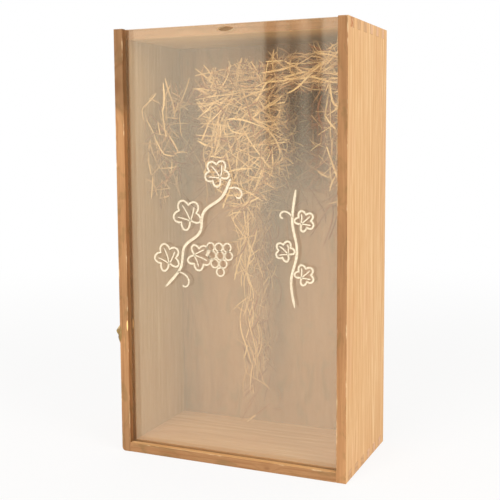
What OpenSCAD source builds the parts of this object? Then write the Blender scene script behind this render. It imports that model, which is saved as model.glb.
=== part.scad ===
// Upright wooden wine box with two bays side by side. Four boards are finger jointed at the
// corners, a thin panel closes the back, and a clear lid slides up out of grooves behind the
// front edges. Wood wool lies between the bays and closes in above them.
// The origin is the middle of the underside, the front faces -Y and up is +Z.

/* [Box] */
// Width over the two sides
box_w = 200; // [180:1:260]
// Depth from the front edges to the back edges
box_d = 108; // [100:1:140]
// Height from the underside to the top
box_h = 355; // [345:1:420]
// Thickness of the four boards
board_t = 8; // [7:0.5:10]
// Width of one finger of the corner joints, before it is fitted to the depth
finger_w = 8.5; // [6:0.5:18]
// Width of the sides' first finger, at the front edges
finger_first = 6; // [5:0.5:9]
// Radius worn onto the lower left edge
worn_r = 3; // [1:0.5:4]

/* [Lid] */
// Thickness of the clear lid
lid_t = 4; // [3:0.5:5]
// Wood in front of the lid's groove
lip_d = 5; // [4:0.5:9]
// Depth of the lid's groove in the boards
lid_groove_d = 4; // [3:0.5:5]
// Gap between each face of the lid and its groove
lid_play = 0.2; // [0.1:0.05:0.4]
// Gap between each upright edge of the lid and its groove
lid_side_play = 0.5; // [0.2:0.1:1]
// How far the lid stops below the top
lid_drop = 0.3; // [0.1:0.1:1]
// Width of the nail slot in the lid
slot_w = 15; // [12:1:30]
// Height of the nail slot at its middle
slot_h = 3.8; // [3:0.2:6]
// Strip of lid above the nail slot
slot_strip = 1.8; // [0.8:0.2:3]
// How far the nail slot sits to the right of the middle
slot_x = -2; // [-10:1:10]

/* [Back panel] */
// Thickness of the back panel
panel_t = 4; // [3:0.5:6]
// How far the panel is set in from the back edges
panel_inset = 5; // [4:0.5:8]
// Depth of the panel's groove in the boards
panel_groove_d = 4; // [2.5:0.5:5]
// Gap between each face of the panel and its groove
panel_play = 0.1; // [0.05:0.05:0.3]
// Gap left for the panel to swell, at its upright and top edges
panel_swell = 0.4; // [0.2:0.1:1]

/* [Knot] */
// Height of the raised knot's middle on the left side
knot_z = 104; // [60:1:250]
// How far the knot stands proud
knot_rise = 3.5; // [1:0.5:4]
// Radius of the knot where it meets the board
knot_r = 5.5; // [4:0.5:8]
// Distance of the knot's middle from the front edges
knot_set_back = 1; // [0.5:0.5:10]
// Radius of the knot's blunt tip
knot_tip_r = 1; // [0.5:0.5:2]
// How far the knot's tail runs down
knot_tail = 5; // [3:0.5:8]

/* [Wood wool] */
// Width of the wood wool standing between the two bays
divider_w = 10; // [8:1:14]
// Depth of that wood wool at the floor, from the back panel forwards
foot_d = 45; // [30:1:60]
// Height at which the wood wool starts to close in above the bays
shoulder_z = 205; // [190:1:220]
// Height at which only the two neck spaces are left
neck_z = 250; // [240:1:260]
// Width of a neck space
neck_gap = 36; // [34:1:42]
// Depth of the wood wool behind the neck spaces
mat_d = 18; // [12:1:24]
// Clear space above the wood wool, at the right
head_space = 9; // [6:1:16]
// How much lower the wood wool lies at the left than at the right
left_fall = 30; // [0:1:40]
// Thickness of the wood wool over the right neck space, at the right
roof_t = 28; // [24:1:36]
// Distance from the lid's groove to the wood wool
front_gap = 15; // [6:1:20]
// Length of one wave along the wood wool's top
wave_l = 30; // [20:1:40]
// Height of the waves
wave_h = 5; // [2:1:6]
// Rounding of the front upper edge
bundle_r = 9; // [4:1:12]

/* [Hidden] */
$fn = 48;
cut = 1;                      // how far a cutter passes the face that it cuts
inner_w = box_w - 2 * board_t;
front_y = -box_d / 2;
back_y = box_d / 2;
ceiling_z = box_h - board_t;
finger_n = 2 * round((box_d - finger_first) / (2 * finger_w));
finger_pitch = (box_d - finger_first) / finger_n;
groove_w = lid_t + 2 * lid_play;
channel_w = inner_w + 2 * lid_groove_d;
channel_z = board_t - lid_groove_d;
channel_back_y = front_y + lip_d + groove_w;
lid_w = channel_w - 2 * lid_side_play;
lid_h = box_h - lid_drop - channel_z;
slot_z = box_h - lid_drop - slot_strip - slot_h / 2;
slot_r = (slot_w * slot_w / slot_h + slot_h) / 4;
panel_front_y = back_y - panel_inset - panel_t;
panel_channel_w = inner_w + 2 * panel_groove_d;
panel_channel_h = box_h - 2 * board_t + 2 * panel_groove_d;
wood = "burlywood";
wool = "khaki";
wool_front_y = channel_back_y + front_gap;
mat_y = panel_front_y - mat_d;
wool_top_z = ceiling_z - head_space;
neck_x = (inner_w + divider_w) / 4;
nest_x = neck_x - neck_gap / 2;
lobe_x = neck_x + neck_gap / 2;
roof_z = wool_top_z - roof_t;
bundle_steps = 6;             // straight runs in one wave and in the rounded edge

// Where a finger starts, counted from the sides' first finger, which is 0
function finger_y(i) = front_y + finger_first + (i - 1) * finger_pitch;

// The space of the lid, open at the top
module lid_channel() {
    translate([-channel_w / 2, front_y + lip_d, channel_z])
        cube([channel_w, groove_w, box_h]);
}

// The space of the back panel, closed all round
module panel_channel() {
    translate([-panel_channel_w / 2, panel_front_y - panel_play, board_t - panel_groove_d])
        cube([panel_channel_w, panel_t + 2 * panel_play, panel_channel_h]);
}

// Fingers of the top and bottom boards, on one side
module fingers(base_z) {
    for (i = [1 : 2 : finger_n - 1])
        translate([-box_w / 2, finger_y(i), base_z])
            cube([board_t, finger_pitch, board_t]);
}

// The lower left edge's worn corner, as what is taken away
module worn_edge() {
    translate([-box_w / 2, 0, 0])
        difference() {
            translate([-cut, front_y - cut, -cut])
                cube([worn_r + cut, box_d + 2 * cut, worn_r + cut]);
            translate([worn_r, back_y + 2 * cut, worn_r])
                rotate([90, 0, 0])
                    cylinder(r = worn_r, h = box_d + 4 * cut);
        }
}

// A blunt cone on the left side's outer face, rooted in the board and cut off at its front edge
module knot_cone(radius, rise, z) {
    root_r = radius + cut * (radius - knot_tip_r) / rise;
    intersection() {
        translate([-box_w / 2 + cut, front_y + knot_set_back, z])
            rotate([0, -90, 0])
                cylinder(r1 = root_r, r2 = knot_tip_r, h = rise + cut);
        translate([-box_w / 2 - rise - cut, front_y, z - 2 * radius])
            cube([rise + 3 * cut, 4 * radius, 4 * radius]);
    }
}

// A side board, drawn at the left
module side_board() {
    difference() {
        translate([-box_w / 2, front_y, 0])
            cube([board_t, box_d, box_h]);
        for (i = [1 : 2 : finger_n - 1], base_z = [-cut, box_h - board_t])
            translate([-box_w / 2 - cut, finger_y(i), base_z])
                cube([board_t + 2 * cut, finger_pitch, board_t + cut]);
        lid_channel();
        panel_channel();
    }
}

module left_side() {
    color(wood) {
        difference() {
            side_board();
            worn_edge();
        }
        knot_cone(knot_r, knot_rise, knot_z);
        knot_cone(knot_r, knot_rise / 2, knot_z - knot_tail);
    }
}

module right_side() {
    color(wood)
        mirror([1, 0, 0]) side_board();
}

module top_board() {
    color(wood)
        difference() {
            union() {
                translate([-inner_w / 2, channel_back_y, ceiling_z])
                    cube([inner_w, back_y - channel_back_y, board_t]);
                fingers(ceiling_z);
                mirror([1, 0, 0]) fingers(ceiling_z);
            }
            lid_channel();
            panel_channel();
        }
}

module bottom_board() {
    color(wood)
        difference() {
            union() {
                translate([-inner_w / 2, front_y, 0])
                    cube([inner_w, box_d, board_t]);
                fingers(0);
                mirror([1, 0, 0]) fingers(0);
            }
            lid_channel();
            panel_channel();
            worn_edge();
        }
}

module back_panel() {
    panel_w = panel_channel_w - 2 * panel_swell;
    color(wood)
        translate([-panel_w / 2, panel_front_y, board_t - panel_groove_d])
            cube([panel_w, panel_t, panel_channel_h - panel_swell]);
}

// The nail slot's space, a lens between two arcs
module nail_slot() {
    intersection_for (side = [-1, 1])
        translate([slot_x, 0, slot_z + side * (slot_r - slot_h / 2)])
            rotate([90, 0, 0])
                cylinder(r = slot_r, h = box_d / 2, $fn = 180);
}

module lid() {
    color("lightcyan", 0.4)
        difference() {
            translate([-lid_w / 2, front_y + lip_d + lid_play, channel_z])
                cube([lid_w, lid_t, lid_h]);
            nail_slot();
        }
}

// Height of the wood wool's top, which falls from right to left
function top_z(x) = wool_top_z - left_fall * (inner_w / 2 - x) / inner_w;

// Points along the waved top between two places, from right to left
function wave_top(x0, x1) =
    let (steps = bundle_steps * max(1, round((x1 - x0) / wave_l)))
        [for (i = [steps : -1 : 0])
            let (x = x0 + (x1 - x0) * i / steps)
                [x, top_z(x) - wave_h * (1 - cos(360 * i / bundle_steps)) / 2]];

// A front view drawn on u and z, as a solid from y1 forwards to y0
module from_front(y0, y1) {
    translate([0, y1, 0])
        rotate([90, 0, 0])
            linear_extrude(y1 - y0) children();
}

// A side view drawn on y and z, as a solid from x0 to x1
module from_side(x0, x1) {
    translate([x0, 0, 0])
        rotate([90, 0, 90])
            linear_extrude(x1 - x0) children();
}

// Side view of a bundle, with its front upper edge rounded
module edge_outline(z1) {
    arc = [for (i = [0 : bundle_steps])
        [wool_front_y + bundle_r * (1 - sin(90 * i / bundle_steps)),
         z1 - bundle_r * (1 - cos(90 * i / bundle_steps))]];
    polygon(concat([[mat_y, z1]], arc, [[wool_front_y, board_t], [mat_y, board_t]]));
}

// A bundle of wood wool in front of the mat; foot lists its lower points from left to right
module bundle(x0, x1, foot) {
    color(wool)
        intersection() {
            from_front(wool_front_y, mat_y) polygon(concat(foot, wave_top(x0, x1)));
            from_side(x0, x1) edge_outline(top_z(x1));
        }
}

// It is deepest at the top, under the nest
module wool_divider() {
    color(wool)
        from_side(-divider_w / 2, divider_w / 2)
            polygon([[panel_front_y, board_t], [panel_front_y - foot_d, board_t],
                     [wool_front_y, shoulder_z], [panel_front_y, shoulder_z]]);
}

module wool_nest() {
    bundle(-nest_x, nest_x, [[-nest_x, neck_z], [-divider_w / 2, shoulder_z],
                             [divider_w / 2, shoulder_z], [nest_x, neck_z]]);
}

// It lies against the back panel, behind the others
module wool_mat() {
    color(wool)
        intersection() {
            from_front(mat_y, panel_front_y)
                polygon(concat([[-inner_w / 2, board_t], [inner_w / 2, board_t]],
                               wave_top(-inner_w / 2, inner_w / 2)));
            from_side(-inner_w / 2, inner_w / 2)
                polygon([[panel_front_y, shoulder_z], [panel_front_y, box_h],
                         [mat_y, box_h], [mat_y, neck_z]]);
        }
}

module wool_left() {
    bundle(-inner_w / 2, -lobe_x, [[-inner_w / 2, shoulder_z], [-lobe_x, neck_z]]);
}

// This one is flat on top, where the roof lies on it
module wool_right() {
    color(wool)
        from_front(wool_front_y, mat_y)
            polygon([[lobe_x, neck_z], [inner_w / 2, shoulder_z],
                     [inner_w / 2, roof_z], [lobe_x, roof_z]]);
}

module wool_roof() {
    bundle(nest_x, inner_w / 2, [[nest_x, roof_z], [inner_w / 2, roof_z]]);
}

left_side();
right_side();
top_board();
bottom_board();
back_panel();
lid();
wool_divider();
wool_nest();
wool_mat();
wool_left();
wool_right();
wool_roof();
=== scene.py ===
"""Looks for the upright wooden box with a clear sliding lid.

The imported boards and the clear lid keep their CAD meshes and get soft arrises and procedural
materials. The wood wool's plain solids are replaced by loose shavings that fill the same space,
and a frosted vine is laid on the lid.
Lengths are in metres unless a name or a comment says mm.
"""
import math
import random

import bmesh
import bpy
from mathutils import Matrix, Vector, noise
from mathutils.bvhtree import BVHTree


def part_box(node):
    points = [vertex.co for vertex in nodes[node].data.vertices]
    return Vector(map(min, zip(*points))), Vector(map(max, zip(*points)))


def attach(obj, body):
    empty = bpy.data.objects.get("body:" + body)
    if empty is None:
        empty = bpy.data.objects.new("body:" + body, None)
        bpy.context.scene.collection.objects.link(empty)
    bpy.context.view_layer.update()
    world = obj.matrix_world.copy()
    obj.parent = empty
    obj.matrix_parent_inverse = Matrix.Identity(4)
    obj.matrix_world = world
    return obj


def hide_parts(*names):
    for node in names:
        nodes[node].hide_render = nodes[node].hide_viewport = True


MM = 0.001
FINGER_COUNT = 12  # places along a joint, behind the narrower first one

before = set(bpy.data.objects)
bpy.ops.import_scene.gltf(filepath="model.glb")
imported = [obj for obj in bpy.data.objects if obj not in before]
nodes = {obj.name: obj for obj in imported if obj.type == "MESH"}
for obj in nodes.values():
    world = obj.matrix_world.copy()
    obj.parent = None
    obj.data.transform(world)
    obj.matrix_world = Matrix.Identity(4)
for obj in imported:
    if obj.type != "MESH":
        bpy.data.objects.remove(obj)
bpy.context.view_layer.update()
side_low, side_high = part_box("right_side")
lid_low, lid_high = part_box("lid")
top_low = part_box("top_board")[0]
panel_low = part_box("back_panel")[0]
inner_x = side_low.x
floor_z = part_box("bottom_board")[1].z
ceiling_z = top_low.z
finger_start = top_low.y
finger_pitch = (side_high.y - finger_start) / FINGER_COUNT


# Helpers

def tone(red, green, blue):
    """A colour read as 0 to 255 on the screen, as the linear colour that Blender wants."""
    linear = [((c / 255 + 0.055) / 1.055) ** 2.4 if c > 10 else c / 3294.6 for c in (red, green, blue)]
    return (*linear, 1.0)


class Shade:
    """Short calls for building the nodes of one material or of the world."""

    def __init__(self, owner):
        self.owner = owner
        owner.use_nodes = True
        self.tree = owner.node_tree
        self.tree.nodes.clear()

    def node(self, kind, inputs=None, **settings):
        made = self.tree.nodes.new(kind)
        for key, value in settings.items():
            setattr(made, key, value)
        for key, value in (inputs or {}).items():
            self.feed(made.inputs[key], value)
        return made

    def feed(self, socket, value):
        if isinstance(value, bpy.types.NodeSocket):
            self.tree.links.new(value, socket)
        else:
            socket.default_value = value

    def math(self, operation, *values, clamp=False):
        made = self.node("ShaderNodeMath", operation=operation, use_clamp=clamp)
        for socket, value in zip(made.inputs, values):
            self.feed(socket, value)
        return made.outputs[0]

    def add(self, first, second):
        return self.math("ADD", first, second)

    def minus(self, first, second):
        return self.math("SUBTRACT", first, second)

    def times(self, first, second):
        return self.math("MULTIPLY", first, second)

    def hypot(self, first, second):
        return self.math("SQRT", self.add(self.times(first, first), self.times(second, second)))

    def step(self, value, start, end, low=0.0, high=1.0):
        """Smoothly from low, at start, to high, at end."""
        made = self.node("ShaderNodeMapRange", interpolation_type="SMOOTHSTEP")
        for key, given in zip(("Value", "From Min", "From Max", "To Min", "To Max"),
                              (value, start, end, low, high)):
            self.feed(made.inputs[key], given)
        return made.outputs[0]

    def vector(self, x, y, z):
        made = self.node("ShaderNodeCombineXYZ", {"X": x, "Y": y, "Z": z})
        return made.outputs[0]

    def vector_math(self, operation, *values):
        made = self.node("ShaderNodeVectorMath", operation=operation)
        for socket, value in zip(made.inputs, values):
            self.feed(socket, value)
        return made.outputs["Value" if operation == "LENGTH" else "Vector"]

    def split(self, vector):
        made = self.node("ShaderNodeSeparateXYZ", {"Vector": vector})
        return made.outputs[0], made.outputs[1], made.outputs[2]

    def noise(self, vector, scale=1.0, detail=2.0, rough=0.5, swirl=0.0):
        made = self.node("ShaderNodeTexNoise", {"Vector": vector, "Scale": scale, "Detail": detail,
                                                "Roughness": rough, "Distortion": swirl})
        return made.outputs["Fac"]

    def mix(self, factor, first, second, blend="MIX"):
        made = self.node("ShaderNodeMix", data_type="RGBA", blend_type=blend)
        self.feed(made.inputs[0], factor)
        self.feed(made.inputs[6], first)
        self.feed(made.inputs[7], second)
        return made.outputs[2]

    def ramp(self, value, stops):
        """stops is a list of (place, number)."""
        made = self.node("ShaderNodeValToRGB", {"Fac": value})
        bands = made.color_ramp.elements
        while len(bands) < len(stops):
            bands.new(0.5)
        for band, (place, number) in zip(bands, stops):
            band.position = place
            band.color = (number, number, number, 1)
        return made.outputs[0]

    def bump(self, height, strength, distance):
        made = self.node("ShaderNodeBump", {"Height": height, "Strength": strength,
                                            "Distance": distance})
        return made.outputs[0]

    def diffuse(self, colour):
        return self.node("ShaderNodeBsdfDiffuse", {"Color": colour}).outputs[0]

    def clear(self, colour=(1, 1, 1, 1)):
        return self.node("ShaderNodeBsdfTransparent", {"Color": colour}).outputs[0]

    def blend(self, share, first, second):
        """Two surfaces; share is how much of the second one shows."""
        return self.node("ShaderNodeMixShader", {0: share, 1: first, 2: second}).outputs[0]

    def finish(self, shader):
        is_world = isinstance(self.owner, bpy.types.World)
        out = self.node("ShaderNodeOutputWorld" if is_world else "ShaderNodeOutputMaterial")
        self.tree.links.new(shader, out.inputs["Surface"])
        return self.owner


def new_shade(name):
    return Shade(bpy.data.materials.new(name))


def set_material(piece, material):
    piece.data.materials.clear()
    piece.data.materials.append(material)


def new_object(name, form, material):
    """A finished bmesh as an object of its own."""
    mesh = bpy.data.meshes.new(name)
    form.to_mesh(mesh)
    form.free()
    mesh.materials.append(material)
    made = bpy.data.objects.new(name, mesh)
    bpy.context.scene.collection.objects.link(made)
    return made


def new_piece(name, form, material, body):
    """A finished bmesh as an object that rides on a CAD body."""
    piece = new_object(name, form, material)
    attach(piece, body)
    return piece


# Camera

CAMERA_PLACE = Vector((0.3016, -0.6977, 0.2660))
CAMERA_AZIMUTH = math.radians(23.58)
CAMERA_ELEVATION = math.radians(5.96)
CAMERA_ROLL = math.radians(-0.36)
SENSOR_MM = 36
FRAME_PX = 500
FOCAL_PX = 901.5
MIDDLE_PX = 232


def make_camera():
    """The photo's view, fitted to the box's outer edges; the pixels are those of its frame."""
    back = Vector((math.sin(CAMERA_AZIMUTH) * math.cos(CAMERA_ELEVATION),
                   -math.cos(CAMERA_AZIMUTH) * math.cos(CAMERA_ELEVATION),
                   math.sin(CAMERA_ELEVATION)))
    level = (-back).cross(Vector((0, 0, 1))).normalized()
    upright = level.cross(-back)
    right = math.cos(CAMERA_ROLL) * level + math.sin(CAMERA_ROLL) * upright
    up = math.cos(CAMERA_ROLL) * upright - math.sin(CAMERA_ROLL) * level
    data = bpy.data.cameras.new("camera")
    data.sensor_width = SENSOR_MM
    data.lens = FOCAL_PX / FRAME_PX * SENSOR_MM
    data.shift_y = (MIDDLE_PX - FRAME_PX / 2) / FRAME_PX
    camera = bpy.data.objects.new("camera", data)
    turn = Matrix((right, up, back)).transposed().to_4x4()
    camera.matrix_world = Matrix.Translation(CAMERA_PLACE) @ turn
    bpy.context.scene.collection.objects.link(camera)
    bpy.context.scene.camera = camera


make_camera()
bpy.context.scene.view_settings.view_transform = "Standard"


# Floor, world and lamps

WORLD_LIGHT = 0.62
FLOOR_RADIUS = 6.0
FLOOR_DROP = 0.0003
FLOOR_FADE = (0.3, 1.2)
FLOOR_NEAR = 0.84
CARD_Y = -2.0
CARD_HEIGHT = 1.6
CARD_FADE = (0.05, 0.42)
CARD_BANDS = ((-0.95, 0.0), (-0.86, 0.14), (-0.787, 0.3), (-0.775, 1.0), (-0.749, 1.0),
              (-0.731, 0.62), (-0.714, 0.7), (-0.694, 0.95), (-0.675, 0.9), (-0.657, 0.6),
              (-0.642, 0.62), (-0.627, 0.95), (-0.598, 1.0), (-0.59, 0.35), (-0.5, 0.3))
BOX_MIDDLE = (0, 0, 0.18)


def seen_factor(shade):
    """1 for what the camera, a mirror or a clear sheet shows, 0 for what lights the object."""
    rays = shade.node("ShaderNodeLightPath").outputs
    seen = shade.math("MAXIMUM", rays["Is Camera Ray"], rays["Is Glossy Ray"])
    return shade.math("MAXIMUM", seen, rays["Is Transmission Ray"])


def make_world():
    world = bpy.data.worlds.new("studio")
    bpy.context.scene.world = world
    shade = Shade(world)
    light = shade.node("ShaderNodeBackground", {"Color": (1.0, 0.97, 0.93, 1),
                                                "Strength": WORLD_LIGHT})
    shown = shade.node("ShaderNodeBackground", {"Color": (1, 1, 1, 1), "Strength": 1.0})
    shade.finish(shade.blend(seen_factor(shade), light.outputs[0], shown.outputs[0]))


def make_floor():
    """White where it is seen, a little less so near the box, and lit by the lamps there."""
    form = bmesh.new()
    bmesh.ops.create_circle(form, cap_ends=True, segments=96, radius=FLOOR_RADIUS)
    shade = new_shade("floor_white")
    glow = shade.node("ShaderNodeEmission", {"Color": (1, 1, 1, 1), "Strength": 1.0})
    place = shade.node("ShaderNodeTexCoord").outputs["Object"]
    from_box = shade.vector_math("LENGTH", place)
    fade = shade.step(from_box, *FLOOR_FADE, FLOOR_NEAR, 1.0)
    share = shade.times(seen_factor(shade), fade)
    surface = shade.blend(share, shade.diffuse((0.9, 0.9, 0.9, 1)), glow.outputs[0])
    floor = new_object("floor", form, shade.finish(surface))
    floor.location.z = -FLOOR_DROP


def make_lamp(name, place, size, power, colour):
    """A round soft lamp that points at the box."""
    data = bpy.data.lights.new(name, "AREA")
    data.shape = "DISK"
    data.size = size
    data.energy = power
    data.color = colour
    lamp = bpy.data.objects.new(name, data)
    lamp.location = place
    aim = Vector(BOX_MIDDLE) - Vector(place)
    lamp.rotation_euler = aim.to_track_quat("-Z", "Y").to_euler()
    lamp.visible_camera = False
    lamp.visible_glossy = False
    bpy.context.scene.collection.objects.link(lamp)


def make_dark_card():
    """A dark upright in the room, with dim places beside it, which only the lid's mirror shows.

    CARD_BANDS says how dark it is from left to right, as (x, share)."""
    left, right = CARD_BANDS[0][0], CARD_BANDS[-1][0]
    form = bmesh.new()
    form.faces.new([form.verts.new(corner) for corner in (
        (left, CARD_Y, 0), (right, CARD_Y, 0),
        (right, CARD_Y, CARD_HEIGHT), (left, CARD_Y, CARD_HEIGHT))])
    shade = new_shade("dark_card")
    x, y, z = shade.split(shade.node("ShaderNodeTexCoord").outputs["Object"])
    across = shade.math("DIVIDE", shade.minus(x, left), right - left)
    stops = [((place - left) / (right - left), number) for place, number in CARD_BANDS]
    share = shade.times(shade.step(z, *CARD_FADE), shade.ramp(across, stops))
    surface = shade.blend(share, shade.clear(), shade.diffuse(tone(62, 46, 44)))
    card = new_object("dark_card", form, shade.finish(surface))
    card.visible_camera = False
    card.visible_diffuse = False
    card.visible_shadow = False


make_world()
make_floor()
make_dark_card()
make_lamp("key_lamp", (1.6, -0.75, 1.0), size=1.1, power=14.5, colour=(1.0, 0.95, 0.88))
make_lamp("front_lamp", (-0.35, -2.2, 0.75), size=1.3, power=37.0, colour=(1.0, 0.97, 0.93))


# Wood, with all lengths in mm

FACE_LIGHT = tone(233, 189, 133)
FACE_DARK = tone(208, 153, 97)
FACE_STREAK = tone(253, 222, 172)
FACE_BLUSH = tone(222, 166, 120)
# Front edges: darker than the faces, partly the wood's own tone and partly painted shade, as they face
# away from the key lamp
EDGE_LIGHT = tone(189, 141, 95)
EDGE_DARK = tone(154, 106, 65)
EDGE_OLIVE = tone(136, 108, 64)
# The lips in front of the lid: the front edges' colour with its painted shade, a little lighter and
# redder
LIP_FACTOR = (1.08, 1.02, 0.98, 1)
FLECK = tone(252, 204, 136)
# Painted shade: the top board's front where it lies dim behind the lid's nail slot
SLOT_SHADE = tone(130, 103, 73)
END_LIGHT = tone(216, 172, 124)
END_DARK = tone(192, 142, 97)
END_PINK = tone(233, 187, 153)
END_RUST = tone(190, 118, 62)
KNOT_CORE = tone(116, 76, 44)
KNOT_BARK = tone(148, 126, 74)
KNOT_CRACK = tone(92, 68, 46)
WORN = tone(246, 216, 172)
WORN_SHARE = 0.55
ARRIS_ROUND = 0.4
FACING = (0.6, 0.85)  # of a normal along an axis, from not facing that way to facing it
# How dark the wood of a year is, as (share of the year, darkness)
LATE_WOOD = [(0.0, 0.15), (0.12, 0.0), (0.55, 0.2), (0.86, 1.0), (1.0, 0.25)]
RING_WANDER = 22.0
RING_UNEVEN = 2.2  # in years
RING_DEPTH = 0.4
FIBRE_DEPTH = 0.5
CLOUD_DEPTH = 0.5
PALE_START = 0.2
HAIR_DEPTH = 0.35
KNOT_REACH = 2.6  # in radii, like the push
KNOT_PUSH = 1.6
KNOT_ALONG = 0.55  # below 1, knots are drawn out along the grain
STREAK_SWAY = 5.0
ROUGHNESS = (0.52, 0.66)
RELIEF = 0.25
lid_front = lid_low.y / MM
left_face = -side_high.x / MM


class Board:
    """What sets one board's wood apart from the others.

    grain is the axis that the grain runs along, and pith is where the tree's middle lies beside it.
    knots are (across, across, along, radius), and streaks (across, lean, half width, strength).
    edge holds (share of the height, brightness) for the front edge, which is darker than the faces,
    partly its own tone and partly painted shade, and marks on that edge are (x, z, half width,
    half height, colour), one of them painted shade. inner is a colour factor for the face towards +X,
    painted shade on the wall inside the box, and paler one for the whole board, painted light that
    makes up for the dim inside of the box. rust is the strength of the rust on the first finger, and
    seed keeps one board's noise away from the others'."""

    def __init__(self, node, grain, pith, ring_mm, seed, knots=(), streaks=(),
                 edge=((0.0, 0.74), (1.0, 0.74)), inner=None, rust=0.0, paler=None, marks=()):
        self.node = node
        self.grain = grain
        self.pith = pith
        self.ring_mm = ring_mm
        self.seed = seed * 37.0
        self.knots = knots
        self.streaks = streaks
        self.edge = edge
        self.inner = inner
        self.rust = rust
        self.paler = paler
        self.marks = marks


class Grain:
    """Where a place lies in its board's grain, and the fields from 0 to 1 that its colours use."""

    def __init__(self, shade, board):
        self.shade = shade
        self.board = board
        coordinates = shade.node("ShaderNodeTexCoord").outputs
        self.place = shade.split(shade.vector_math("MULTIPLY", coordinates["Object"], (1 / MM,) * 3))
        self.normal_x, normal_y, normal_z = shade.split(coordinates["Normal"])
        x, y, z = self.place
        if board.grain == "Z":
            self.a, self.b, self.along = x, y, z
            normal_along = normal_z
        else:
            self.a, self.b, self.along = y, z, x
            normal_along = self.normal_x
        self.end = shade.step(shade.math("ABSOLUTE", normal_along), *FACING)
        self.front = shade.step(normal_y, -FACING[0], -FACING[1])
        self.knot_push, self.knot_core = self.knots()
        self.late = self.late_wood()
        self.fibre = self.noise(0.8, 0.026, detail=4.0, rough=0.65, swirl=0.25)
        self.hair = self.noise(3.2, 0.06, rough=0.6)
        self.cloud = self.noise(0.018, 0.008, board.seed, detail=3.0)
        self.depth = self.darkness()

    def noise(self, across, along, shift=0.0, detail=2.0, rough=0.5, swirl=0.0):
        """Noise drawn out along the grain; across and along say how fast it changes in a mm."""
        shade = self.shade
        place = shade.vector(shade.times(self.a, across), shade.times(self.b, across),
                             shade.add(shade.times(self.along, along), shift))
        return shade.noise(place, 1.0, detail, rough, swirl)

    def knots(self):
        """How far the rings are pushed aside by the knots, and how dark their cores are."""
        shade = self.shade
        push, core = 0.0, 0.0
        for across_a, across_b, along, radius in self.board.knots:
            offset = shade.vector_math("SUBTRACT", shade.vector(self.a, self.b, self.along),
                                       (across_a, across_b, along))
            in_radii = (1 / radius, 1 / radius, KNOT_ALONG / radius)
            away = shade.vector_math("LENGTH", shade.vector_math("MULTIPLY", offset, in_radii))
            push = shade.add(push, shade.step(away, KNOT_REACH, 0.2, 0.0, KNOT_PUSH * radius))
            core = shade.math("MAXIMUM", core, shade.step(away, 1.0, 0.35))
        return push, core

    def late_wood(self):
        """The dark part of each year's ring round the pith."""
        shade, board = self.shade, self.board
        wander = shade.times(shade.minus(self.noise(0.012, 0.0045, board.seed), 0.5), RING_WANDER)
        radius = shade.hypot(shade.minus(self.a, board.pith[0]), shade.minus(self.b, board.pith[1]))
        radius = shade.add(shade.add(radius, wander), self.knot_push)
        uneven = shade.noise(shade.vector(shade.times(radius, 0.11), board.seed, 0.0), detail=1.0)
        years = shade.add(shade.math("DIVIDE", radius, board.ring_mm),
                          shade.times(uneven, RING_UNEVEN))
        return shade.ramp(shade.math("FRACT", years), LATE_WOOD)

    def darkness(self):
        """How far the wood's colour goes from its light tone to its dark one."""
        shade = self.shade
        depth = shade.add(shade.times(self.late, RING_DEPTH),
                          shade.times(shade.step(self.fibre, 0.3, 0.72), FIBRE_DEPTH))
        depth = shade.add(depth, shade.minus(shade.times(self.cloud, CLOUD_DEPTH), PALE_START))
        hairs = shade.times(shade.minus(self.hair, 0.5), HAIR_DEPTH)
        return shade.math("ADD", depth, hairs, clamp=True)

    def relief(self):
        """The surface's height for the bump."""
        shade = self.shade
        fine = shade.add(shade.times(self.fibre, 0.5), shade.times(self.hair, 0.35))
        return shade.add(shade.times(self.late, 0.35), fine)


def streak_mask(grain, across, lean, half_width, strength):
    """A pale line that runs up a board, sways a little and fades in and out."""
    shade = grain.shade
    line = shade.minus(grain.b, shade.add(shade.times(grain.along, lean), across))
    sway = shade.noise(shade.vector(across, 0.0, shade.times(grain.along, 0.022)), detail=1.0)
    line = shade.add(line, shade.times(shade.minus(sway, 0.5), STREAK_SWAY))
    away = shade.math("ABSOLUTE", line)
    fade = shade.noise(shade.vector(across, 5.0, shade.times(grain.along, 0.015)), detail=1.0)
    return shade.times(shade.step(away, half_width, half_width * 0.3),
                       shade.times(shade.step(fade, 0.22, 0.5), strength))


def face_colour(grain):
    """The long faces: rings and fibres, pale wisps, pink clouds and the board's own streaks."""
    shade, board = grain.shade, grain.board
    colour = shade.mix(grain.depth, FACE_LIGHT, FACE_DARK)
    wisp = grain.noise(0.45, 0.018, board.seed, detail=3.0, rough=0.55, swirl=0.5)
    colour = shade.mix(shade.times(shade.step(wisp, 0.53, 0.7), 0.5), colour, FACE_STREAK)
    blush = grain.noise(0.03, 0.012, board.seed + 9.0)
    colour = shade.mix(shade.step(blush, 0.5, 0.75, 0.0, 0.35), colour, FACE_BLUSH)
    for streak in board.streaks:
        colour = shade.mix(streak_mask(grain, *streak), colour, FACE_STREAK)
    # Painted shade: the left side's wall inside the box is darkened
    if board.inner:
        inside = shade.step(grain.normal_x, *FACING)
        colour = shade.mix(inside, colour, (*board.inner, 1), "MULTIPLY")
    # Painted light: paler wood makes up for the dim inside of the box
    if board.paler:
        colour = shade.mix(1.0, colour, (*board.paler, 1), "MULTIPLY")
    return colour


def edge_colour(grain):
    """The front edges, darker than the faces partly as painted shade, olive in places, with their
    brightness up the box.
    """
    shade, board = grain.shade, grain.board
    colour = shade.mix(grain.depth, EDGE_LIGHT, EDGE_DARK)
    olive = grain.noise(0.09, 0.035, board.seed, detail=4.0, rough=0.6, swirl=1.4)
    colour = shade.mix(shade.step(olive, 0.5, 0.66, 0.0, 0.5), colour, EDGE_OLIVE)
    height = shade.math("DIVIDE", grain.place[2], side_high.z / MM)
    return shade.mix(1.0, colour, shade.ramp(height, board.edge), "MULTIPLY")


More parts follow.
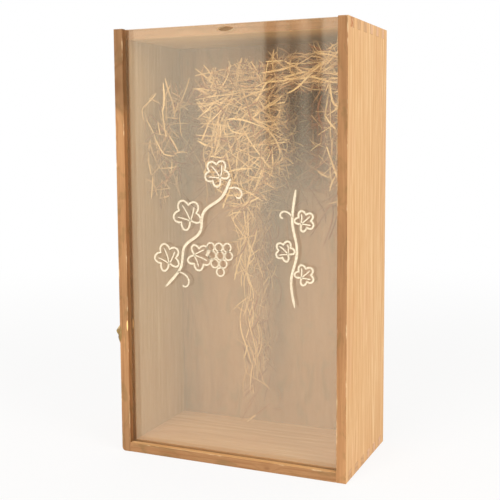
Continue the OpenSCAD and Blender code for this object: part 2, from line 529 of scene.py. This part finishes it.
def lip_mask(grain):
    """The narrow inner faces of the sides in front of the lid."""
    shade = grain.shade
    before_lid = shade.step(grain.place[1], lid_front + 0.1, lid_front - 0.1)
    inward = shade.step(shade.math("ABSOLUTE", grain.place[0]), inner_x / MM + 0.3,
                        inner_x / MM + 0.1)
    return shade.times(before_lid, inward)


def finger_masks(grain):
    """Rust on the first finger at the right, and a pink stripe on each of the fingers behind."""
    shade = grain.shade
    fingers = shade.math("DIVIDE", shade.minus(grain.place[1], finger_start / MM),
                         finger_pitch / MM)
    mottle = shade.noise(shade.vector(*grain.place), scale=0.45, detail=3.0, rough=0.6)
    rust = shade.times(shade.step(fingers, 1.0, 0.6), shade.step(mottle, 0.38, 0.58))
    rust = shade.times(shade.step(grain.normal_x, *FACING), rust)
    chance = shade.node("ShaderNodeTexWhiteNoise", {"W": shade.math("FLOOR", fingers)},
                        noise_dimensions="1D")
    pink = shade.times(shade.step(chance.outputs["Value"], 0.0, 0.7, 0.2, 0.55),
                       shade.step(fingers, 4.0, 6.0))
    stripe = shade.step(shade.math("FRACT", fingers), 0.2, 0.45)
    return rust, shade.times(grain.end, shade.times(pink, stripe))


def add_end_grain(grain, colour):
    shade, board = grain.shade, grain.board
    ring_end = shade.mix(shade.add(shade.times(grain.late, 0.6), shade.times(grain.cloud, 0.3)),
                         END_LIGHT, END_DARK)
    colour = shade.mix(grain.end, colour, ring_end)
    if board.grain == "X":
        rust, pink = finger_masks(grain)
        colour = shade.mix(pink, colour, END_PINK)
        colour = shade.mix(shade.times(rust, board.rust), colour, END_RUST)
    return colour


def add_raised_knot(grain, colour):
    """What stands proud of the left side: olive bark with dark cracks that run down."""
    shade = grain.shade
    x, y, z = grain.place
    proud = shade.step(x, left_face - 0.05, left_face - 0.4)
    drawn_out = shade.vector(shade.times(x, 0.9), shade.times(y, 0.9), shade.times(z, 0.3))
    crack = shade.noise(drawn_out, detail=3.0, rough=0.7, swirl=0.6)
    bark = shade.mix(shade.step(crack, 0.44, 0.6), KNOT_BARK, KNOT_CRACK)
    return shade.mix(proud, colour, bark)


def mark_mask(grain, x, z, half_width, half_height):
    """A soft oval on the front of a board."""
    shade = grain.shade
    across = shade.math("DIVIDE", shade.minus(grain.place[0], x), half_width)
    upward = shade.math("DIVIDE", shade.minus(grain.place[2], z), half_height)
    return shade.times(grain.front, shade.step(shade.hypot(across, upward), 1.0, 0.75))


def arris_distance(grain):
    """Distance to the nearest edge of the board's box, raised knot aside: the middle of 3 gaps."""
    shade = grain.shade
    low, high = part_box(grain.board.node)
    low.x = max(low.x, -side_high.x)
    gaps = []
    for value, least, most in zip(grain.place, low, high):
        gaps.append(shade.math("MINIMUM", shade.minus(value, least / MM),
                               shade.minus(most / MM, value)))
    smaller = shade.math("MINIMUM", gaps[0], gaps[1])
    larger = shade.math("MAXIMUM", gaps[0], gaps[1])
    return shade.math("MAXIMUM", smaller, shade.math("MINIMUM", larger, gaps[2]))


def add_worn_arrises(grain, colour):
    shade = grain.shade
    rub = grain.noise(0.12, 0.05, detail=4.0, rough=0.7)
    worn = shade.times(shade.step(arris_distance(grain), 1.1, 0.2), shade.step(rub, 0.52, 0.68))
    return shade.mix(shade.times(worn, WORN_SHARE), colour, WORN)


def make_wood(board):
    shade = new_shade("wood_" + board.node)
    grain = Grain(shade, board)
    edge = edge_colour(grain)
    colour = shade.mix(grain.front, face_colour(grain), edge)
    # The lips in front of the lid take the front edges' colour, and so its painted shade
    if board.node.endswith("side"):
        lip = shade.mix(1.0, edge, LIP_FACTOR, "MULTIPLY")
        colour = shade.mix(lip_mask(grain), colour, lip)
    colour = add_end_grain(grain, colour)
    colour = shade.mix(grain.knot_core, colour, KNOT_CORE)
    if board.node == "left_side":
        colour = add_raised_knot(grain, colour)
    for *spot, mark_colour in board.marks:
        colour = shade.mix(mark_mask(grain, *spot), colour, mark_colour)
    colour = add_worn_arrises(grain, colour)
    surface = shade.node("ShaderNodeBsdfPrincipled", {
        "Base Color": colour,
        "Roughness": shade.step(grain.depth, 0.0, 1.0, *ROUGHNESS),
        "Normal": shade.bump(grain.relief(), 0.35, RELIEF * MM),
        "Specular IOR Level": 0.35,
    })
    return shade.finish(surface.outputs[0])


def soften(piece):
    """Joins the mesh's split corners again and rounds its arrises, as modifiers."""
    weld = piece.modifiers.new("weld", "WELD")
    weld.merge_threshold = 1e-6
    flat = piece.modifiers.new("flat", "DECIMATE")
    flat.decimate_type = "DISSOLVE"
    flat.angle_limit = math.radians(1)
    bevel = piece.modifiers.new("bevel", "BEVEL")
    bevel.width = ARRIS_ROUND * MM
    bevel.segments = 2
    bevel.limit_method = "ANGLE"
    bevel.angle_limit = math.radians(40)
    bevel.harden_normals = True
    bevel.use_clamp_overlap = True


BOARDS = [
    Board("right_side", "Z", pith=(190.0, -170.0), ring_mm=6.4, seed=1,
          streaks=((22.0, -0.057, 1.1, 0.6), (22.5, 0.06, 1.0, 0.55), (-7.0, 0.0, 0.8, 0.4)),
          edge=((0.0, 0.95), (0.24, 0.88), (0.34, 0.74), (0.5, 0.64), (0.6, 0.74), (0.72, 0.74),
                (0.82, 0.66), (1.0, 0.68))),
    # inner on the left side is painted shade on its wall inside the box
    Board("left_side", "Z", pith=(-150.0, -120.0), ring_mm=5.6, seed=2, inner=(0.7, 0.75, 0.73),
          knots=((-99.0, -58.0, 309.0, 7.0),),
          marks=((-99.6, 102.0, 1.5, 8.0, EDGE_OLIVE), (-92.7, 109.3, 0.75, 5.0, FLECK)),
          edge=((0.0, 0.66), (0.06, 0.7), (0.13, 0.79), (0.2, 0.82), (0.27, 0.95), (0.32, 0.76),
                (0.4, 0.76), (0.48, 0.82), (0.6, 0.84), (0.7, 0.92), (0.8, 0.9), (0.83, 0.54),
                (0.9, 0.5), (1.0, 0.54))),
    Board("top_board", "X", pith=(-90.0, 300.0), ring_mm=5.2, seed=3, rust=0.9,
          # its mark is painted shade behind the lid's nail slot
          marks=((-3.0, 351.0, 7.4, 1.9, SLOT_SHADE),), edge=((0.0, 0.87), (1.0, 0.87)),
          # paler on the top board is painted light for its underside inside the box
          paler=(1.12, 1.22, 1.14)),
    Board("bottom_board", "X", pith=(-40.0, -95.0), ring_mm=4.2, seed=4,
          knots=((-56.0, 3.0, 34.0, 3.0),)),
    # paler on the back panel is painted light inside the box
    Board("back_panel", "Z", pith=(20.0, 260.0), ring_mm=9.0, seed=5, paler=(1.22, 1.3, 1.26)),
]

for board in BOARDS:
    set_material(nodes[board.node], make_wood(board))
    soften(nodes[board.node])


# Clear lid

MIRROR_FACING = 0.155
MIRROR_GRAZING = 0.89
MIRROR_COLOUR = (1, 0.88, 0.68, 1)
HAZE = (0.03, 0.055)
HAZE_COLOUR = tone(252, 232, 198)
RIM_HAZE = 0.85
RIM_COLOUR = tone(255, 236, 196)


def make_acrylic():
    """A clear sheet with a faint dusty haze, and pale where its cut rim shows."""
    shade = new_shade("clear_acrylic")
    coordinates = shade.node("ShaderNodeTexCoord").outputs
    x, y, z = shade.split(coordinates["Object"])
    normal_y = shade.split(coordinates["Normal"])[1]
    rim = shade.minus(1.0, shade.step(shade.math("ABSOLUTE", normal_y), 0.5, 0.8))
    rays = shade.node("ShaderNodeLightPath").outputs
    seen = shade.minus(1.0, shade.math("MAXIMUM", rays["Is Shadow Ray"], rays["Is Diffuse Ray"]))
    grazing = shade.node("ShaderNodeLayerWeight", {"Blend": 0.5}).outputs["Facing"]
    mirror = shade.add(shade.times(seen, MIRROR_FACING),
                       shade.times(shade.math("POWER", grazing, 5.0), MIRROR_GRAZING))
    dust = shade.noise(shade.vector(shade.times(x, 9.0), y, shade.times(z, 4.0)), detail=4.0,
                       rough=0.6)
    dusty = shade.step(dust, 0.3, 0.75, *HAZE)
    share = shade.times(seen, shade.math("MAXIMUM", dusty, shade.times(rim, RIM_HAZE)))
    film = shade.blend(share, shade.clear((0.975, 0.965, 0.945, 1)),
                       shade.diffuse(shade.mix(rim, HAZE_COLOUR, RIM_COLOUR)))
    gloss = shade.node("ShaderNodeBsdfGlossy", {"Color": MIRROR_COLOUR, "Roughness": 0.03})
    return shade.finish(shade.blend(mirror, film, gloss.outputs[0]))


set_material(nodes["lid"], make_acrylic())


# Frosted vine on the lid, drawn in mm across and up

FROST_PROUD = 0.12 * MM
FROST_SUNK = 0.02 * MM
FROST_DARK = tone(208, 192, 164)
FROST_LIGHT = tone(244, 232, 208)
LONG_STEM_LINE = 2.2
SHORT_STEM_LINE = 2.0
LEAF_LINE = 1.5
VEIN_LINE = 1.0
GRAPE_LINE = 1.2
TENDRIL_LINE = 1.3


def make_frost():
    shade = new_shade("frosted_vine")
    place = shade.node("ShaderNodeTexCoord").outputs["Object"]
    grit = shade.noise(place, 1400.0, 3.0, 0.6)
    cut = shade.node("ShaderNodeBsdfDiffuse", {
        "Color": shade.mix(grit, FROST_DARK, FROST_LIGHT),
        "Normal": shade.bump(grit, 0.5, 0.2 * MM),
    })
    share = shade.step(grit, 0.3, 0.55, 0.55, 0.9)
    return shade.finish(shade.blend(share, shade.clear(), cut.outputs[0]))


def smooth_line(points, steps=7):
    """A Catmull-Rom curve through the points."""
    ends = [points[0], *points, points[-1]]
    line = []
    for p0, p1, p2, p3 in zip(ends, ends[1:], ends[2:], ends[3:]):
        p0, p1, p2, p3 = Vector(p0), Vector(p1), Vector(p2), Vector(p3)
        for i in range(steps):
            t = i / steps
            line.append(0.5 * (2 * p1 + (p2 - p0) * t + (2 * p0 - 5 * p1 + 4 * p2 - p3) * t ** 2
                               + (3 * p1 - p0 - 3 * p2 + p3) * t ** 3))
    return line + [Vector(points[-1])]


def add_stroke(form, line, width, closed=False):
    """A thin raised line with tapered ends, or a ring."""
    count = len(line)
    rings = []
    for i, point in enumerate(line):
        ahead = line[(i + 1) % count] if closed else line[min(i + 1, count - 1)]
        behind = line[i - 1] if closed else line[max(i - 1, 0)]
        along = (ahead - behind).normalized()
        half = width / 2
        if not closed:
            half *= min(1.0, 0.35 + min(i, count - 1 - i) * 0.35)
        across = Vector((-along.y, along.x)) * half
        left, right = point + across, point - across
        rings.append([form.verts.new((p.x * MM, y, p.y * MM)) for p, y in (
            (left, lid_low.y - FROST_PROUD), (right, lid_low.y - FROST_PROUD),
            (right, lid_low.y + FROST_SUNK), (left, lid_low.y + FROST_SUNK))])
    pairs = list(zip(rings, rings[1:]))
    if closed:
        pairs.append((rings[-1], rings[0]))
    else:
        form.faces.new(rings[0])
        form.faces.new(rings[-1][::-1])
    for first, second in pairs:
        for k in range(4):
            form.faces.new((first[k], second[k], second[(k + 1) % 4], first[(k + 1) % 4]))


def on_circle(middle, radius, degrees):
    angle = math.radians(degrees)
    return Vector(middle) + Vector((math.cos(angle), math.sin(angle))) * radius


def add_leaf(form, middle, size, heading):
    """A five-lobed leaf outline with its veins; heading is in degrees from the right."""
    def reach(away):
        notch = 1 - 0.45 * math.exp(-((abs(away) - 180) / 22) ** 2)
        return size * (0.58 + 0.34 * abs(math.cos(math.radians(2.5 * away)))) * notch

    outline = [on_circle(middle, reach(a), heading + a) for a in range(-180, 180, 8)]
    add_stroke(form, outline, LEAF_LINE, closed=True)
    root = on_circle(middle, size * 0.4, heading + 180)
    for away in (-72, 0, 72):
        tip = on_circle(middle, reach(away) * 0.72, heading + away)
        vein = smooth_line([root, (root + tip) / 2 + Vector((0.4, 0.2)), tip])
        add_stroke(form, vein, VEIN_LINE)


def add_grapes(form, top, radius):
    """Rings in rows of three, three, two and one, hanging from a point."""
    for row, count in enumerate((3, 3, 2, 1)):
        for i in range(count):
            middle = (top[0] + (i - (count - 1) / 2) * radius * 2.15 + (row % 2) * radius * 0.35,
                      top[1] - (row + 0.5) * radius * 1.95)
            ring = [on_circle(middle, radius, a) for a in range(0, 360, 24)]
            add_stroke(form, ring, GRAPE_LINE, closed=True)


def add_tendril(form, start, size, heading, turning):
    """A curl that winds in on itself."""
    points = []
    place, way, stride = Vector(start), math.radians(heading), size / 3
    for step in range(9):
        points.append(place.copy())
        place = place + Vector((math.cos(way), math.sin(way))) * stride
        way += turning * (0.25 + 0.1 * step)
        stride *= 0.93
    add_stroke(form, smooth_line(points, 4), TENDRIL_LINE)


def make_vine():
    """A long stem with grapes at the left, and a short one at the right."""
    form = bmesh.new()
    long_stem = [(-58, 144), (-44, 160), (-40, 178), (-26, 190), (-22, 207), (-6, 219), (2, 234)]
    add_stroke(form, smooth_line(long_stem), LONG_STEM_LINE)
    for middle, size, heading in (((-56, 168), 13, 110), ((-27, 170), 12, -20),
                                  ((-37, 204), 14, 120), ((-10, 238), 12, 130)):
        add_leaf(form, middle, size, heading)
    add_grapes(form, (-9, 182), radius=3.4)
    add_tendril(form, (-47, 157), size=11, heading=-10, turning=-0.9)
    add_tendril(form, (0, 226), size=10, heading=15, turning=-1.0)
    short_stem = [(56, 134), (53, 155), (58, 178), (54, 202), (57, 226)]
    add_stroke(form, smooth_line(short_stem), SHORT_STEM_LINE)
    for middle, size, heading in (((64, 160), 9, 40), ((48, 178), 9, 140), ((64, 202), 9, 40)):
        add_leaf(form, middle, size, heading)
    add_tendril(form, (54, 205), size=8, heading=130, turning=1.0)
    new_piece("frosted_vine", form, make_frost(), "lid")


make_vine()


# Wood wool

STRAW_LIGHT = tone(246, 209, 146)
STRAW_DARK = tone(138, 74, 28)
DEEP_SHADE = 0.95  # painted shade, added for each whole depth of the room behind DEEP_FROM
DEEP_FROM = 0.12
STEP = 4.0 * MM
SHAVING_T = 0.25 * MM
SHAVING_W = (0.6, 1.45)  # in mm
TIP_SHARE = 0.4  # of the width
CURLY_SHARE = 0.12  # of the shavings; the others are plain
# Angles are in radians, for one step
CURLY_BEND = (0.2, 0.42)
PLAIN_BEND = (0.02, 0.13)
TWIST = 0.18
KINK_CHANCE = 0.05
KINK_ANGLE = (0.3, 0.8)
AXIS_DRIFT = 0.2
PULL_BACK = 0.12
CLUMP_SCALE = 42
CLUMP_SWING = 0.9
CLUMP_LEVEL = 0.7
EDGE_GAP = 0.8 * MM
LID_GAP = 6 * MM
ROOM_LOW = Vector((-inner_x + EDGE_GAP, lid_high.y + LID_GAP, floor_z + EDGE_GAP))
ROOM_HIGH = Vector((inner_x - EDGE_GAP, panel_low.y - EDGE_GAP, ceiling_z - EDGE_GAP))


def make_straw():
    """Each shaving is pale at 0 and dark from 1 up, with fine mottling on it: partly at random, and
    partly painted shade that darkens the shavings deep in the box.
    """
    shade = new_shade("wood_wool_straw")
    tint_and_shade = shade.node("ShaderNodeAttribute", attribute_name="tint_and_shade").outputs["Fac"]
    place = shade.node("ShaderNodeTexCoord").outputs["Object"]
    fine = shade.noise(place, 900.0, 3.0, 0.6)
    amount = shade.math("ADD", tint_and_shade, shade.times(shade.minus(fine, 0.5), 0.5), clamp=True)
    surface = shade.node("ShaderNodeBsdfPrincipled", {
        "Base Color": shade.mix(amount, STRAW_LIGHT, STRAW_DARK),
        "Roughness": 0.5,
        "Normal": shade.bump(fine, 0.3, 0.1 * MM),
        "Specular IOR Level": 0.4,
    })
    return shade.finish(surface.outputs[0])


STRAW = make_straw()


class Bundle:
    """The CAD solid of one bundle, as a space to fill."""

    def __init__(self, node):
        mesh = nodes[node].data
        self.low, self.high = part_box(node)
        self.tree = BVHTree.FromPolygons([v.co for v in mesh.vertices],
                                         [p.vertices for p in mesh.polygons])

    def outside(self, place):
        """How far a point lies outside, below 0 where it is inside, and the way back."""
        near, normal, index, distance = self.tree.find_nearest(place)
        if (place - near).dot(normal) < 0:
            return -distance, Vector()
        return distance, (near - place).normalized()


def random_direction(rng, lean=Vector(), flatten=0.55):
    """Any way, but mostly parallel to the lid, and drawn towards the lean or its opposite."""
    way = Vector((rng.gauss(0, 1), rng.gauss(0, 1) * flatten, rng.gauss(0, 1)))
    return (way + lean * rng.choice((-1, 1))).normalized()


def shaving_path(rng, bundle, start, length, lean, stray):
    """Points of one shaving: mostly a slow curve, now and then a curl or a kink."""
    place = start.copy()
    heading = random_direction(rng, lean)
    axis = random_direction(rng, flatten=1.0)
    curly = rng.random() < CURLY_SHARE
    bend = rng.uniform(*CURLY_BEND) if curly else rng.uniform(*PLAIN_BEND)
    points = [place.copy()]
    while len(points) * STEP < length:
        if rng.random() < KINK_CHANCE:
            heading = Matrix.Rotation(rng.uniform(*KINK_ANGLE), 3, axis) @ heading
        axis = (axis + AXIS_DRIFT * random_direction(rng, flatten=1.0)).normalized()
        heading = Matrix.Rotation(bend * rng.uniform(0.5, 1.5), 3, axis) @ heading
        away, back = bundle.outside(place)
        if away > stray and len(points) > 3:
            break
        if away > 0:
            heading = (heading + back * PULL_BACK).normalized()
        place = place + heading * STEP
        for k in range(3):
            place[k] = min(max(place[k], ROOM_LOW[k]), ROOM_HIGH[k])
        points.append(place.copy())
    return points


def add_shaving(form, tint_and_shade_layer, rng, points, width):
    """A thin closed strip along the points, which turns about itself as it goes."""
    depth = (points[0].y - ROOM_LOW.y) / (ROOM_HIGH.y - ROOM_LOW.y)
    # Painted shade: shavings further back in the box are made darker
    tint_and_shade = rng.random() ** 2 + DEEP_SHADE * max(0.0, depth - DEEP_FROM)
    twist = rng.uniform(0, math.pi)
    twist_step = rng.uniform(-TWIST, TWIST)
    rings = []
    for i, point in enumerate(points):
        ahead = points[min(i + 1, len(points) - 1)]
        behind = points[max(i - 1, 0)]
        forward = (ahead - behind).normalized()
        side = forward.cross(Vector((0.02, 1, 0.03))).normalized()
        side = Matrix.Rotation(twist + twist_step * i, 3, forward) @ side
        flat = forward.cross(side)
        taper = TIP_SHARE if i in (0, len(points) - 1) else 1.0
        corners = []
        for across, over in ((-1, -1), (1, -1), (1, 1), (-1, 1)):
            corner = point + side * across * width / 2 * taper + flat * over * SHAVING_T / 2
            vertex = form.verts.new(corner)
            vertex[tint_and_shade_layer] = tint_and_shade
            corners.append(vertex)
        rings.append(corners)
    for first, second in zip(rings, rings[1:]):
        for k in range(4):
            form.faces.new((first[k], first[(k + 1) % 4], second[(k + 1) % 4], second[k]))
    form.faces.new(rings[0][::-1])
    form.faces.new(rings[-1])


def make_wool(node, count, seed, fill, lean, length, stray):
    """Shavings in a bundle's space.

    fill says how likely a place is to start one, from its share of the bundle's width, depth and
    height. lean is the way that they are drawn to, and length and stray are in mm."""
    rng = random.Random(seed)
    bundle = Bundle(node)
    form = bmesh.new()
    tint_and_shade_layer = form.verts.layers.float.new("tint_and_shade")
    made = 0
    while made < count:
        start = Vector([rng.uniform(bundle.low[k], bundle.high[k]) for k in range(3)])
        if bundle.outside(start)[0] > 0:
            continue
        share = [(start[k] - bundle.low[k]) / (bundle.high[k] - bundle.low[k]) for k in range(3)]
        clump = noise.noise(start * CLUMP_SCALE + Vector((seed, 0, 0))) * CLUMP_SWING + CLUMP_LEVEL
        if rng.random() > clump * fill(*share):
            continue
        span = rng.uniform(*length) * MM
        points = shaving_path(rng, bundle, start, span, Vector(lean), stray * MM)
        add_shaving(form, tint_and_shade_layer, rng, points, rng.uniform(*SHAVING_W) * MM)
        made += 1
    piece = new_piece(node + "_strands", form, STRAW, "box")
    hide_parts(node)


def front_fill(x, y, z):
    """Most where it shows."""
    return 1 - 0.65 * y


def middle_fill(x, y, z):
    """Most halfway back."""
    return max(0.05, 1 - 2.2 * abs(y - 0.45))


def mat_fill(x, y, z):
    """Thinner at the left, where the panel shows through."""
    return (0.25 + 0.75 * min(1, 1.6 * x)) * (1 - 0.5 * y)


def roof_fill(x, y, z):
    """A dense layer below, a hollow in the middle, a thin layer above it, and less at the right."""
    hollow = x > 0.3 and 0.28 < z < 0.68
    return (0.03 if hollow else 1.0) * (0.4 if x > 0.85 else 1.0) * front_fill(x, y, z)


def divider_fill(x, y, z):
    """Thins out towards the floor."""
    return 0.08 + 0.92 * z ** 1.6


make_wool("wool_nest", 1300, 11, front_fill, lean=(0.9, 0, 0.5), length=(26, 85), stray=5)
make_wool("wool_mat", 900, 12, mat_fill, lean=(0.7, 0, 0.3), length=(22, 75), stray=6)
make_wool("wool_left", 130, 13, middle_fill, lean=(0, 0, 0.6), length=(16, 44), stray=3)
make_wool("wool_right", 210, 14, front_fill, lean=(0, 0, 0.6), length=(16, 48), stray=4)
make_wool("wool_roof", 330, 15, roof_fill, lean=(2.0, 0, 0.1), length=(22, 76), stray=8)
make_wool("wool_divider", 250, 16, divider_fill, lean=(0, 0, 2.0), length=(22, 66), stray=4)
